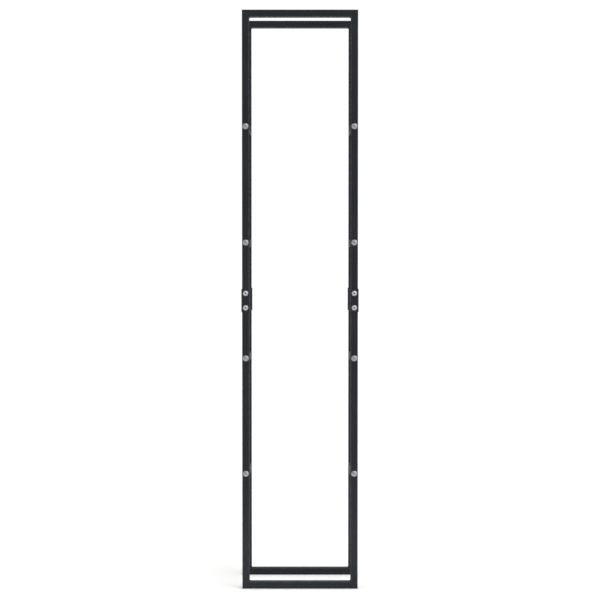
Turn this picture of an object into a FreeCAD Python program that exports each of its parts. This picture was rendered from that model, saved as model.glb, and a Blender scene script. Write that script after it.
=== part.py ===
import FreeCAD, Part
import os

import Sketcher

# Firewood log rack: a front and a rear frame of square steel tube, joined by eight side bars.
# Each frame is an upper and a lower welded half, spliced at mid height inside square sleeves.
# Millimetres. +Z is up, the open front faces -Y, +X is to the right seen from the front.
# The origin is on the floor, under the middle of the rack.

DIMENSIONS = {
    "rack_width": 400.0,
    "rack_depth": 250.0,
    "rack_height": 2000.0,
    "tube_size": 25.0,
    "tube_wall": 1.5,
    "tube_corner": 2.5,
    "side_bar_spacing": 400.0,
    "end_plate_thickness": 3.0,
    "end_plate_slack": 0.1,
    "sleeve_size": 30.0,
    "sleeve_wall": 2.0,
    "sleeve_corner": 3.5,
    "sleeve_length": 80.0,
    "sleeve_bolt_offset": 25.0,
    "weld_leg": 3.0,
    "weld_face_radius": 3.6,
    "thread_diameter": 8.0,
    "thread_tip_chamfer": 0.8,
    "bolt_hole": 9.0,
    "tie_bolt_length": 260.0,
    "dome_diameter": 20.65,
    "dome_height": 4.88,
    "dome_edge": 0.8,
    "neck_size": 8.0,
    "neck_height": 4.6,
    "neck_hole": 8.4,
    "sleeve_bolt_length": 40.0,
    "flange_diameter": 17.5,
    "flange_edge": 1.0,
    "flange_slope": 0.6,
    "button_diameter": 13.9,
    "button_height": 4.4,
    "button_flat_diameter": 7.6,
    "socket_flats": 5.0,
    "socket_depth": 2.6,
    "nut_flats": 13.0,
    "nut_height": 6.8,
    "nut_chamfer": 0.9,
    "nut_bore": 8.1,
    "washer_diameter": 16.0,
    "washer_thickness": 1.6,
    "washer_bore": 8.4,
}

# How far a mitre cut reaches past the tube, so that it never leaves a skin on a face.
CUT_MARGIN = 5.0

SIDE_BARS_PER_SIDE = 4
SIDES = {"left": -1, "right": 1}
FRAMES = {"front": -1, "rear": 1}
HALVES = {"lower": -1, "upper": 1}

# Local +Z of a fastener turned to point to the rear, or to the front.
TO_REAR = FreeCAD.Rotation(FreeCAD.Vector(1, 0, 0), -90)
TO_FRONT = FreeCAD.Rotation(FreeCAD.Vector(1, 0, 0), 90)
# Hexagons and sockets stop at a different angle on each fastener when it is tightened.
TURN_PER_FASTENER = 37.0
# A cut that removes less than this many cubic millimetres has missed its tube.
SMALLEST_CUT = 1.0

doc = FreeCAD.newDocument("firewood_log_rack")
sub_parts = []


def make_sheet():
    """Put every driving dimension in a spreadsheet cell with its name as alias."""
    sheet = doc.addObject("Spreadsheet::Sheet", "Dimensions")
    for row, (name, value) in enumerate(DIMENSIONS.items(), start=1):
        sheet.set(f"A{row}", name)
        sheet.set(f"B{row}", str(value))
        sheet.setAlias(f"B{row}", name)
    doc.recompute()
    return sheet


def bound(expression):
    """Write an expression with each dimension's name led by the sheet's name."""
    words = expression.split()
    return " ".join(f"Dimensions.{word}" if word in DIMENSIONS else word for word in words)


def bind(target, **expressions):
    """Bind properties of an object to expressions in the sheet's dimensions."""
    for name, expression in expressions.items():
        target.setExpression(name, bound(expression))


def place(target, x="0", y="0", z="0", rotation=None):
    """Place an object, with each coordinate bound to an expression."""
    if rotation is not None:
        target.Placement = FreeCAD.Placement(FreeCAD.Vector(), rotation)
    for axis, expression in (("x", x), ("y", y), ("z", z)):
        target.setExpression(f"Placement.Base.{axis}", bound(expression))


def new_body(label):
    body = doc.addObject("PartDesign::Body", label)
    body.Label = label
    return body


def sketch_on(body, role, name):
    """Start a sketch on one of the body's own origin planes."""
    sketch = body.newObject("Sketcher::SketchObject", name)
    plane = next(item for item in body.Origin.OriginFeatures if item.Role == role)
    sketch.AttachmentSupport = (plane, [""])
    sketch.MapMode = "FlatFace"
    return sketch


def dimension(sketch, name, expression, *constraint):
    """Add one driving dimension to a sketch and bind it."""
    value = float(sketch.evalExpression(bound(expression)))
    index = sketch.addConstraint(Sketcher.Constraint(*constraint, value))
    sketch.renameConstraint(index, name)
    sketch.setExpression(f"Constraints.{name}", bound(expression))


def circle(sketch, name, diameter, height="0"):
    """Draw a circle centred on the sketch's vertical axis."""
    centre = FreeCAD.Vector(0, float(sketch.evalExpression(bound(height))), 0)
    radius = float(sketch.evalExpression(bound(diameter))) / 2
    geometry = sketch.addGeometry(Part.Circle(centre, FreeCAD.Vector(0, 0, 1), radius), False)
    sketch.addConstraint(Sketcher.Constraint("PointOnObject", geometry, 3, -2))
    dimension(sketch, f"{name}_diameter", diameter, "Diameter", geometry)
    if height == "0":
        sketch.addConstraint(Sketcher.Constraint("PointOnObject", geometry, 3, -1))
    else:
        dimension(sketch, f"{name}_height", height, "DistanceY", -1, 1, geometry, 3)


def outline(sketch, corners, arc=None):
    """Draw a closed outline through named corners, each at two bound coordinates.

    arc is (number of the side that is an arc, "centred" on the vertical axis, or its radius).
    """
    points = []
    for _, across, up in corners:
        x = float(sketch.evalExpression(bound(across)))
        y = float(sketch.evalExpression(bound(up)))
        points.append(FreeCAD.Vector(x, y, 0))
    sides = []
    for side, start in enumerate(points):
        end = points[(side + 1) % len(points)]
        if arc and arc[0] == side:
            sides.append(arc_side(sketch, start, end, arc[1]))
        else:
            sides.append((sketch.addGeometry(Part.LineSegment(start, end), False), 1, 2))
    for side, (geometry, first, last) in enumerate(sides):
        following, following_first, _ = sides[(side + 1) % len(sides)]
        sketch.addConstraint(
            Sketcher.Constraint("Coincident", geometry, last, following, following_first)
        )
    for (name, across, up), (geometry, first, _) in zip(corners, sides):
        for suffix, expression, kind, axis in (
            ("across", across, "DistanceX", -2),
            ("up", up, "DistanceY", -1),
        ):
            if expression == "0":
                sketch.addConstraint(Sketcher.Constraint("PointOnObject", geometry, first, axis))
            else:
                dimension(sketch, f"{name}_{suffix}", expression, kind, -1, 1, geometry, first)
    if arc and arc[1] == "centred":
        sketch.addConstraint(Sketcher.Constraint("PointOnObject", sides[arc[0]][0], 3, -2))
    elif arc:
        dimension(sketch, "arc_radius", arc[1], "Radius", sides[arc[0]][0])


def arc_side(sketch, start, end, shape):
    """Add an arc that runs clockwise from start to end; return it with its two end numbers."""
    chord = end - start
    if shape == "centred":
        centre_y = (end.x**2 + end.y**2 - start.x**2 - start.y**2) / (2 * (end.y - start.y))
        centre = FreeCAD.Vector(0, centre_y, 0)
    else:
        radius = float(sketch.evalExpression(bound(shape)))
        to_right = FreeCAD.Vector(chord.y, -chord.x, 0).normalize()
        drop = (radius**2 - (chord.Length / 2) ** 2) ** 0.5
        centre = (start + end) / 2 + to_right * drop
    ring = Part.Circle(centre, FreeCAD.Vector(0, 0, 1), (start - centre).Length)
    piece = Part.ArcOfCircle(ring, ring.parameter(end), ring.parameter(start))
    return sketch.addGeometry(piece, False), 2, 1


def rounded_square(sketch, name, size, corner):
    """Draw a square centred on the sketch's origin, with four equal round corners."""
    half = float(sketch.evalExpression(bound(size))) / 2
    radius = float(sketch.evalExpression(bound(corner)))
    inset = half - radius
    lines = []
    arcs = []
    for turn in range(4):
        turned = FreeCAD.Rotation(FreeCAD.Vector(0, 0, 1), 90 * turn)
        start = turned.multVec(FreeCAD.Vector(-inset, -half, 0))
        end = turned.multVec(FreeCAD.Vector(inset, -half, 0))
        lines.append(sketch.addGeometry(Part.LineSegment(start, end), False))
        centre = turned.multVec(FreeCAD.Vector(inset, -inset, 0))
        ring = Part.Circle(centre, FreeCAD.Vector(0, 0, 1), radius)
        after = turned.multVec(FreeCAD.Vector(half, -inset, 0))
        piece = Part.ArcOfCircle(ring, ring.parameter(end), ring.parameter(after))
        arcs.append(sketch.addGeometry(piece, False))
    for turn in range(4):
        sketch.addConstraint(Sketcher.Constraint("Tangent", lines[turn], 2, arcs[turn], 1))
        following = lines[(turn + 1) % 4]
        sketch.addConstraint(Sketcher.Constraint("Tangent", arcs[turn], 2, following, 1))
        level = "Horizontal" if turn % 2 == 0 else "Vertical"
        sketch.addConstraint(Sketcher.Constraint(level, lines[turn]))
    for turn in range(1, 4):
        sketch.addConstraint(Sketcher.Constraint("Equal", arcs[0], arcs[turn]))
    sketch.addConstraint(Sketcher.Constraint("Symmetric", lines[0], 1, lines[2], 1, -1, 1))
    dimension(sketch, f"{name}_corner", corner, "Radius", arcs[0])
    dimension(sketch, f"{name}_width", size, "DistanceX", lines[3], 1, lines[1], 1)
    dimension(sketch, f"{name}_height", size, "DistanceY", lines[0], 1, lines[2], 1)


def square_tube(body, role, length, size="tube_size", wall="tube_wall", corner="tube_corner"):
    """Pad a square tube from its section; across a side plane it is centred on that plane."""
    section = sketch_on(body, role, f"{body.Label}_section")
    rounded_square(section, "outer", size, corner)
    rounded_square(section, "inner", f"{size} - 2 * {wall}", f"{corner} - {wall}")
    tube = body.newObject("PartDesign::Pad", f"{body.Label}_tube")
    tube.Profile = section
    tube.SideType = "One side" if role == "XY_Plane" else "Symmetric"
    bind(tube, Length=length)


def mitre(body, name, across, to_right, up, to_top):
    """Cut a tube's end at 45 degrees, leaving its outer side long.

    (across, up) is the corner of the waste on the tube's inner side, just past the cut end;
    to_right and to_top, 1 or -1, say which way that corner points from the tube.
    """
    leg = f"( tube_size + 2 * {CUT_MARGIN} )"
    x = f"{to_right} * ( {across} )"
    z = f"{to_top} * ( {up} )"
    waste = sketch_on(body, "XZ_Plane", f"{name}_waste")
    corners = (
        ("square", x, z),
        ("along", f"{x} - {to_right} * {leg}", z),
        ("down", x, f"{z} - {to_top} * {leg}"),
    )
    outline(waste, corners)
    cut_through(body, name, waste)


def cut_through(body, name, sketch):
    """Cut a sketch on the mid plane through the whole tube, both ways."""
    pocket = body.newObject("PartDesign::Pocket", name)
    pocket.Profile = sketch
    pocket.Type = "ThroughAll"
    pocket.SideType = "Symmetric"


def cut_one_wall(body, name, sketch, to_rear):
    """Cut a sketch on the mid plane through the rear wall or the front wall only."""
    pocket = body.newObject("PartDesign::Pocket", name)
    pocket.Profile = sketch
    pocket.Type = "ThroughAll"
    pocket.Reversed = not to_rear


def bolt_hole(body, name, height):
    """Drill a clearance hole through the front and rear walls."""
    drilling = sketch_on(body, "XZ_Plane", f"{name}_circle")
    circle(drilling, "hole", "bolt_hole", height)
    cut_through(body, name, drilling)


def neck_hole(body, name, height):
    """Punch a square hole for a bolt's neck in the front wall and drill the rear wall."""
    drilling = sketch_on(body, "XZ_Plane", f"{name}_circle")
    circle(drilling, "hole", "bolt_hole", height)
    cut_one_wall(body, f"{name}_rear", drilling, True)
    punching = sketch_on(body, "XZ_Plane", f"{name}_square")
    half = "neck_hole / 2"
    corners = (
        ("low_left", f"-1 * {half}", f"{height} - {half}"),
        ("low_right", half, f"{height} - {half}"),
        ("high_right", half, f"{height} + {half}"),
        ("high_left", f"-1 * {half}", f"{height} + {half}"),
    )
    outline(punching, corners)
    cut_one_wall(body, f"{name}_front", punching, False)


def keep(sub_part):
    """Put a finished sub-part on the list that is checked and written."""
    sub_parts.append(sub_part)


def half_post(frame, side, half):
    """One half of a post: mitred where it meets a bar, square where the halves meet."""
    body = new_body(f"{frame}_{side}_{half}_post")
    square_tube(body, "XY_Plane", "rack_height / 2")
    inner_side = -SIDES[side]
    reach = f"tube_size / 2 + {CUT_MARGIN}"
    end = f"{CUT_MARGIN}" if half == "lower" else f"rack_height / 2 + {CUT_MARGIN}"
    mitre(body, f"{body.Label}_mitre", reach, inner_side, end, HALVES[half])
    for level in side_bar_levels(half):
        height = f"{level} * side_bar_spacing - {base_of(half)}"
        name = f"{body.Label}_hole_{level}"
        if frame == "front":
            neck_hole(body, name, height)
        else:
            bolt_hole(body, name, height)
    splice_height = "rack_height / 2 - sleeve_bolt_offset" if half == "lower" else "sleeve_bolt_offset"
    bolt_hole(body, f"{body.Label}_splice_hole", splice_height)
    place(body, post_x(side), frame_y(frame), base_of(half))
    keep(body)


def side_bar_levels(half):
    """Numbers of the side bars in one half, counted from the floor."""
    middle = SIDE_BARS_PER_SIDE // 2
    first, last = (1, middle) if half == "lower" else (middle + 1, SIDE_BARS_PER_SIDE)
    return range(first, last + 1)


def base_of(half):
    return "0" if half == "lower" else "rack_height / 2"


def post_x(side):
    return f"{SIDES[side]} * ( rack_width - tube_size ) / 2"


def frame_y(frame):
    return f"{FRAMES[frame]} * ( rack_depth - tube_size ) / 2"


def cross_bar(frame, end):
    """The top or bottom bar of a frame, mitred at both ends."""
    body = new_body(f"{frame}_{end}_bar")
    square_tube(body, "YZ_Plane", "rack_width")
    inner_side = 1 if end == "bottom" else -1
    for side, to_right in SIDES.items():
        mitre(
            body,
            f"{body.Label}_{side}_mitre",
            f"rack_width / 2 + {CUT_MARGIN}",
            to_right,
            f"tube_size / 2 + {CUT_MARGIN}",
            inner_side,
        )
    height = "tube_size / 2" if end == "bottom" else "rack_height - tube_size / 2"
    place(body, "0", frame_y(frame), height)
    keep(body)


def side_bar(side, level):
    """A square-cut tube that spaces the front post from the rear post."""
    body = new_body(f"{side}_side_bar_{level}")
    square_tube(body, "XZ_Plane", "rack_depth - 2 * tube_size")
    place(body, post_x(side), "0", f"{level} * side_bar_spacing")
    keep(body)


def splice_sleeve(frame, side):
    """A short square sleeve around the two halves of a post where they meet."""
    body = new_body(f"{frame}_{side}_splice_sleeve")
    square_tube(body, "XY_Plane", "sleeve_length", "sleeve_size", "sleeve_wall", "sleeve_corner")
    for name, step in (("lower", "-"), ("upper", "+")):
        height = f"sleeve_length / 2 {step} sleeve_bolt_offset"
        bolt_hole(body, f"{body.Label}_{name}_hole", height)
    place(body, post_x(side), frame_y(frame), "( rack_height - sleeve_length ) / 2")
    keep(body)


def end_plate():
    """Plate welded flush inside a side bar's end, with a hole for the tie bolt."""
    body = new_body("end_plate")
    section = sketch_on(body, "XY_Plane", "end_plate_section")
    inside = "tube_size - 2 * tube_wall - 2 * end_plate_slack"
    rounded_square(section, "edge", inside, "tube_corner - tube_wall")
    circle(section, "bore", "bolt_hole")
    plate = body.newObject("PartDesign::Pad", "end_plate_pad")
    plate.Profile = section
    bind(plate, Length="end_plate_thickness")
    return body


def corner_weld():
    """Convex fillet bead in a frame's inner corner, its two legs along +X and +Z."""
    body = new_body("corner_weld")
    section = sketch_on(body, "XZ_Plane", "corner_weld_section")
    corners = (("root", "0", "0"), ("rise", "0", "weld_leg"), ("toe", "weld_leg", "0"))
    outline(section, corners, (1, "weld_face_radius"))
    bead = body.newObject("PartDesign::Pad", "corner_weld_bead")
    bead.Profile = section
    bead.SideType = "Symmetric"
    bind(bead, Length="tube_size - 2 * tube_corner")
    return body


def revolved(body, corners, arc):
    """Turn a half profile, drawn on the XZ plane, about the body's Z axis."""
    profile = sketch_on(body, "XZ_Plane", f"{body.Label}_profile")
    outline(profile, corners, arc)
    turned = body.newObject("PartDesign::Revolution", f"{body.Label}_turned")
    turned.Profile = profile
    turned.ReferenceAxis = (profile, ["V_Axis"])
    turned.Angle = 360


def shank_corners(length):
    """Corners of a bolt's half profile from under the head to the axis at its tip."""
    radius = "thread_diameter / 2"
    return (
        ("neck", radius, "0"),
        ("chamfer", radius, f"{length} - thread_tip_chamfer"),
        ("tip_edge", f"{radius} - thread_tip_chamfer", length),
        ("tip", "0", length),
    )


def tie_bolt():
    """Long carriage bolt: low domed head, square neck; the shank points along +Z."""
    body = new_body("tie_bolt")
    head = (
        ("crown", "0", "-1 * dome_height"),
        ("brim", "dome_diameter / 2", "-1 * dome_edge"),
        ("seat", "dome_diameter / 2", "0"),
    )
    tip_first = tuple(reversed(head + shank_corners("tie_bolt_length")))
    revolved(body, tip_first, (len(tip_first) - 2, "centred"))
    section = sketch_on(body, "XY_Plane", "tie_bolt_neck_section")
    half = "neck_size / 2"
    corners = (
        ("low_left", f"-1 * {half}", f"-1 * {half}"),
        ("low_right", half, f"-1 * {half}"),
        ("high_right", half, half),
        ("high_left", f"-1 * {half}", half),
    )
    outline(section, corners)
    neck = body.newObject("PartDesign::Pad", "tie_bolt_neck")
    neck.Profile = section
    bind(neck, Length="neck_height")
    return body


def sleeve_bolt():
    """Button-head bolt with a flange and a hex socket; the shank points along +Z."""
    body = new_body("sleeve_bolt")
    button_foot = "-1 * flange_edge - flange_slope"
    head = (
        ("crown", "0", "-1 * button_height"),
        ("crown_edge", "button_flat_diameter / 2", "-1 * button_height"),
        ("button_foot", "button_diameter / 2", button_foot),
        ("flange_top", "flange_diameter / 2", "-1 * flange_edge"),
        ("seat", "flange_diameter / 2", "0"),
    )
    tip_first = tuple(reversed(head + shank_corners("sleeve_bolt_length")))
    revolved(body, tip_first, (len(tip_first) - 3, "centred"))
    socket = body.newObject("PartDesign::SubtractivePrism", "sleeve_bolt_socket")
    socket.Polygon = 6
    bind(socket, Circumradius="socket_flats / 2 / cos(30deg)", Height="socket_depth")
    place(socket, z="-1 * button_height")
    return body


def hex_nut():
    """Hex nut with both faces chamfered; it stands on the XY plane."""
    body = new_body("hex_nut")
    hexagon = body.newObject("PartDesign::AdditivePrism", "hex_nut_hexagon")
    hexagon.Polygon = 6
    bind(hexagon, Circumradius="nut_flats / 2 / cos(30deg)", Height="nut_height")
    bore = body.newObject("PartDesign::SubtractiveCylinder", "hex_nut_bore")
    bind(bore, Radius="nut_bore / 2", Height="nut_height")
    inner = "nut_flats / 2"
    outer = "nut_flats / 2 + 2 * nut_chamfer"
    for name, face, step in (("lower", "0", "+"), ("upper", "nut_height", "-")):
        waste = sketch_on(body, "XZ_Plane", f"hex_nut_{name}_waste")
        corners = (
            ("flat", inner, face),
            ("outside", outer, face),
            ("slope", outer, f"{face} {step} nut_chamfer"),
        )
        outline(waste, corners)
        groove = body.newObject("PartDesign::Groove", f"hex_nut_{name}_chamfer")
        groove.Profile = waste
        groove.ReferenceAxis = (waste, ["V_Axis"])
        groove.Angle = 360
    return body


def washer():
    """Plain washer; it stands on the XY plane."""
    body = new_body("washer")
    section = sketch_on(body, "XY_Plane", "washer_section")
    circle(section, "rim", "washer_diameter")
    circle(section, "bore", "washer_bore")
    ring = body.newObject("PartDesign::Pad", "washer_ring")
    ring.Profile = section
    bind(ring, Length="washer_thickness")
    return body


def group(label, master, places):
    """A sub-part of several like solids: one link to the master at each place."""
    links = []
    for number, (x, y, z, rotation) in enumerate(places, start=1):
        link = doc.addObject("App::Link", f"{label}_{number}")
        link.LinkedObject = master
        place(link, x, y, z, rotation)
        links.append(link)
    compound = doc.addObject("Part::Compound", label)
    compound.Label = label
    compound.Links = links
    keep(compound)


def turned(facing, number):
    """Turn a fastener about its own axis before it is pointed the way it faces."""
    about_own_axis = FreeCAD.Rotation(FreeCAD.Vector(0, 0, 1), TURN_PER_FASTENER * number)
    return facing.multiply(about_own_axis)


def side_bar_heights():
    return [f"{level} * side_bar_spacing" for level in range(1, SIDE_BARS_PER_SIDE + 1)]


def tie_bolt_sets(bolt, flat_washer, nut, plate):
    """Bolt, washer, nut and two end plates for every side bar, grouped by side."""
    bar_end = "rack_depth / 2 - tube_size"
    rear_face = "rack_depth / 2"
    for side in SIDES:
        x = post_x(side)
        heights = side_bar_heights()
        bolts = [(x, f"-1 * {rear_face}", z, TO_REAR) for z in heights]
        washers = [(x, rear_face, z, TO_REAR) for z in heights]
        nuts = [
            (x, f"{rear_face} + washer_thickness", z, turned(TO_REAR, number))
            for number, z in enumerate(heights)
        ]
        front_plates = [(x, f"-1 * ( {bar_end} )", z, TO_REAR) for z in heights]
        rear_plates = [(x, bar_end, z, TO_FRONT) for z in heights]
        group(f"{side}_tie_bolts", bolt, bolts)
        group(f"{side}_tie_bolt_washers", flat_washer, washers)
        group(f"{side}_tie_bolt_nuts", nut, nuts)
        group(f"{side}_side_bar_end_plates", plate, front_plates + rear_plates)


def sleeve_bolt_sets(bolt, nut):
    """Two bolts and two nuts for every splice sleeve, grouped by frame."""
    for frame, outward in FRAMES.items():
        inward = TO_REAR if frame == "front" else TO_FRONT
        head_y = f"{frame_y(frame)} + {outward} * sleeve_size / 2"
        nut_y = f"{frame_y(frame)} - {outward} * sleeve_size / 2"
        bolts = []
        nuts = []
        for side in SIDES:
            for step in ("-", "+"):
                z = f"rack_height / 2 {step} sleeve_bolt_offset"
                number = len(bolts)
                bolts.append((post_x(side), head_y, z, turned(inward, number)))
                nuts.append((post_x(side), nut_y, z, turned(inward, number + 1)))
        group(f"{frame}_sleeve_bolts", bolt, bolts)
        group(f"{frame}_sleeve_nuts", nut, nuts)


def corner_weld_sets(bead):
    """A bead in each frame's inner corners, grouped by welded half."""
    inner_x = "( rack_width / 2 - tube_size )"
    quarter_turns = {("left", "lower"): 0, ("right", "lower"): -90}
    quarter_turns.update({("left", "upper"): 90, ("right", "upper"): 180})
    for frame in FRAMES:
        for half in HALVES:
            z = "tube_size" if half == "lower" else "rack_height - tube_size"
            places = []
            for side, to_right in SIDES.items():
                rotation = FreeCAD.Rotation(FreeCAD.Vector(0, 1, 0), quarter_turns[side, half])
                places.append((f"{to_right} * {inner_x}", frame_y(frame), z, rotation))
            group(f"{frame}_{half}_corner_welds", bead, places)


def build_rack():
    """Make every sub-part of the rack."""
    for frame in FRAMES:
        for end in ("bottom", "top"):
            cross_bar(frame, end)
        for side in SIDES:
            for half in HALVES:
                half_post(frame, side, half)
            splice_sleeve(frame, side)
    for side in SIDES:
        for level in range(1, SIDE_BARS_PER_SIDE + 1):
            side_bar(side, level)
    nut = hex_nut()
    tie_bolt_sets(tie_bolt(), washer(), nut, end_plate())
    sleeve_bolt_sets(sleeve_bolt(), nut)
    corner_weld_sets(corner_weld())


def check_document():
    """Stop if an object failed, a cut removed nothing, or a sub-part has no valid shape."""
    for item in doc.Objects:
        if "Invalid" in item.State or "Error" in item.State:
            raise RuntimeError(f"{item.Label} failed: {item.State}")
        if item.isDerivedFrom("Sketcher::SketchObject") and item.solve() != 0:
            raise RuntimeError(f"{item.Label} doesn't solve")
        if item.TypeId in ("PartDesign::Pocket", "PartDesign::Groove"):
            removed = item.BaseFeature.Shape.Volume - item.Shape.Volume
            if removed < SMALLEST_CUT:
                raise RuntimeError(f"{item.Label} cuts nothing")
    for sub_part in sub_parts:
        shape = sub_part.Shape
        if shape.isNull() or not shape.isValid() or not shape.Solids:
            raise RuntimeError(f"{sub_part.Label} has no valid solid")


def write_parts():
    """Write each sub-part to a STEP file with its own name."""
    os.makedirs("parts", exist_ok=True)
    for sub_part in sub_parts:
        sub_part.Shape.exportStep(f"parts/{sub_part.Label}.step")


make_sheet()
build_rack()
doc.recompute()
check_document()
write_parts()
print(f"{len(sub_parts)} sub-parts written")
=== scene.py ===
"""Looks of a free-standing firewood log rack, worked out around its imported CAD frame.

Laid out as a Blender add-on and run as a script: the frame is loaded at the top, one operator
makes each group of like pieces, and main() calls them in order. All lengths are in metres.
"""

import math
from itertools import product

import bpy
import numpy as np
from bpy.props import FloatProperty, FloatVectorProperty, PointerProperty
from mathutils import Matrix, Vector


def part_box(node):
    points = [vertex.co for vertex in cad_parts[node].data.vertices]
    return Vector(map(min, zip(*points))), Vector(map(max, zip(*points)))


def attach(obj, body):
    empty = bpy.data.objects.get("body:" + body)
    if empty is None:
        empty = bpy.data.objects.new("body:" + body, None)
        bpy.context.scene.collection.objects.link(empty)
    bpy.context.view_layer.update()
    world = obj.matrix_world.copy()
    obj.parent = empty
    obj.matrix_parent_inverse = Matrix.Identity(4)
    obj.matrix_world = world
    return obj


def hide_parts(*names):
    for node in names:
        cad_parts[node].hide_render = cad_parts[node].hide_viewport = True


bl_info = {
    "name": "Firewood log rack",
    "version": (1, 0, 0),
    "blender": (4, 5, 0),
    "location": "3D View > Sidebar > Log rack",
    "description": "Powder-coated tubes, welds and plated fasteners of a firewood log rack",
    "category": "Object",
}

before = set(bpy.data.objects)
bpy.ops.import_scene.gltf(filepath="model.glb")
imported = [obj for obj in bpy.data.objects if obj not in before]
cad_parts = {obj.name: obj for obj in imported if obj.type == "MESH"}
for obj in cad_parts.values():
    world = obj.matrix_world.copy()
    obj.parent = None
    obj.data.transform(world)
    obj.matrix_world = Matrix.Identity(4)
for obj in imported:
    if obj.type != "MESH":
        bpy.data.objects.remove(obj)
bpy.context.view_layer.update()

MM = 0.001
FRAMES = ("front", "rear")
SIDES = ("left", "right")
HALVES = ("lower", "upper")
LEVELS = (1, 2, 3, 4)
# Each nut and socket stopped at another angle when it was tightened, in degrees.
TURN_PER_FASTENER = 37.0
# Edges that meet at more than this stay crisp, in degrees.
CRISP_ANGLE = 32.0


def linear(hex_colour):
    """Turn an sRGB hex colour, such as #1c1e20, into linear red, green and blue."""
    parts = [int(hex_colour[start : start + 2], 16) / 255 for start in (1, 3, 5)]
    return tuple(p / 12.92 if p <= 0.04045 else ((p + 0.055) / 1.055) ** 2.4 for p in parts)


def length(name, description, millimetres):
    """A length setting in metres, its default given in millimetres."""
    return FloatProperty(
        name=name, description=description, default=millimetres * MM, min=0.0, precision=5,
        subtype="DISTANCE", unit="LENGTH",
    )


def colour(name, description, hex_colour):
    """A colour setting, its default given as sRGB hex."""
    return FloatVectorProperty(
        name=name, description=description, default=linear(hex_colour), min=0.0, max=1.0,
        size=3, subtype="COLOR",
    )


def amount(name, description, default, highest=1.0):
    """A plain number from 0 to highest."""
    return FloatProperty(
        name=name, description=description, default=default, min=0.0, max=highest,
        subtype="FACTOR",
    )


def turn(name, description, degrees):
    """An angle setting, its default given in degrees."""
    return FloatProperty(
        name=name, description=description, default=math.radians(degrees), subtype="ANGLE",
        unit="ROTATION",
    )


# Settings


class TubeSettings(bpy.types.PropertyGroup):
    """Sizes of the square tubes and of the weld beads between them."""

    wall: length("Tube wall", "Wall of the posts, cross bars and side bars", 1.5)
    corner: length("Tube corner", "Outer corner radius of the posts and bars", 2.5)
    sleeve_wall: length("Sleeve wall", "Wall of the splice sleeves", 2.0)
    sleeve_corner: length("Sleeve corner", "Outer corner radius of the splice sleeves", 3.5)
    edge_break: length("Edge break", "Bevel that deburring leaves on a square cut end", 0.35)
    # Edges are painted a lighter grey over this width: rubbed wear together with a painted edge
    # highlight.
    rub_and_highlight_width: length("Rub width", "How far from an edge the coat gets rubbed", 1.6)
    bolt_hole: length("Bolt hole", "Diameter of the holes for the bolts", 9.0)
    neck_hole: length("Neck hole", "Width of the square holes for the carriage bolts", 8.4)
    weld_leg: length("Weld leg", "Leg of the fillet beads in the frame corners", 3.0)
    weld_ripple: length("Weld ripple", "Distance from one ripple of a bead to the next", 1.5)


class FastenerSettings(bpy.types.PropertyGroup):
    """Sizes of the M8 fasteners that their boxes leave open."""

    thread: length("Thread", "Outer diameter of the threads", 8.0)
    pitch: length("Pitch", "Distance from one crest of a thread to the next", 1.25)
    thread_depth: length("Thread depth", "How deep the threads are cut", 0.7)
    thread_run: length("Thread run", "Length of thread drawn at a bolt's end", 12.0)
    dome_edge: length("Dome edge", "Height of the carriage bolt head's upright edge", 0.8)
    neck: length("Neck", "Width of the carriage bolt's square neck", 8.0)
    neck_height: length("Neck height", "Height of the square neck", 4.6)
    flange_edge: length("Flange edge", "Height of the sleeve bolt flange's upright edge", 1.0)
    flange_slope: length("Flange slope", "Rise of the flange to the button's foot", 0.6)
    button: length("Button", "Diameter of the button at its foot", 13.9)
    button_flat: length("Button flat", "Diameter of the flat round the socket's mouth", 7.6)
    socket: length("Socket", "Hex socket across its flats", 5.0)
    socket_depth: length("Socket depth", "Depth of the hex socket", 2.6)
    nut: length("Nut", "Nuts across their flats", 13.0)
    nut_bore: length("Nut bore", "Bore of the nuts", 8.1)
    washer_bore: length("Washer bore", "Bore of the washers", 8.4)


class FinishSettings(bpy.types.PropertyGroup):
    """Colours and surface of the coat, the plating and the plain steel."""

    coat: colour("Coat", "Powder coat on the flats", "#11161d")
    coat_thick: colour("Thick coat", "Powder coat where it built up", "#0a0f15")
    # Lighter grey on edges and weld crests: rubbed wear together with a painted highlight.
    coat_rubbed_and_highlit: colour("Rubbed coat", "Powder coat on edges that were handled", "#3b3f44")
    coat_roughness: amount("Coat roughness", "Roughness of the matt coat", 0.52)
    coat_sheen: amount("Coat sheen", "Specular level of the matt coat", 0.27)
    grain: length("Grain", "Size of the coat's sandy grain", 0.9)
    grain_height: length("Grain height", "Height of the sandy grain", 0.12)
    peel: length("Orange peel", "Size of the soft waves in the coat", 7.0)
    build_up: length("Build-up", "Size of the patches where the coat is thicker", 140.0)
    zinc: colour("Zinc", "Zinc plate of the tie bolts", "#9b9da0")
    zinc_dull: colour("Dull zinc", "Tie bolts where the passivation is thicker", "#888a8d")
    bright_zinc: colour("Bright zinc", "Zinc plate of the sleeve bolts", "#cdd0d3")
    bright_zinc_dull: colour("Dull bright zinc", "Sleeve bolts where it is duller", "#a9acb0")
    zinc_roughness: amount("Zinc roughness", "Roughness of the plated fasteners", 0.32)
    mottling: length("Mottling", "Size of the plating's soft mottling", 3.2)
    # Dark colour of sockets, bores and threads: their oil and dust, together with painted shade.
    grime_and_painted_shade: colour("Grime", "Oil and dust in sockets and threads", "#26272a")
    steel: colour("Steel", "Plain rolled steel of the end plates", "#8a8c8e")
    steel_scale: colour("Mill scale", "Mill scale left on the end plates", "#4b4d52")


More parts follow.
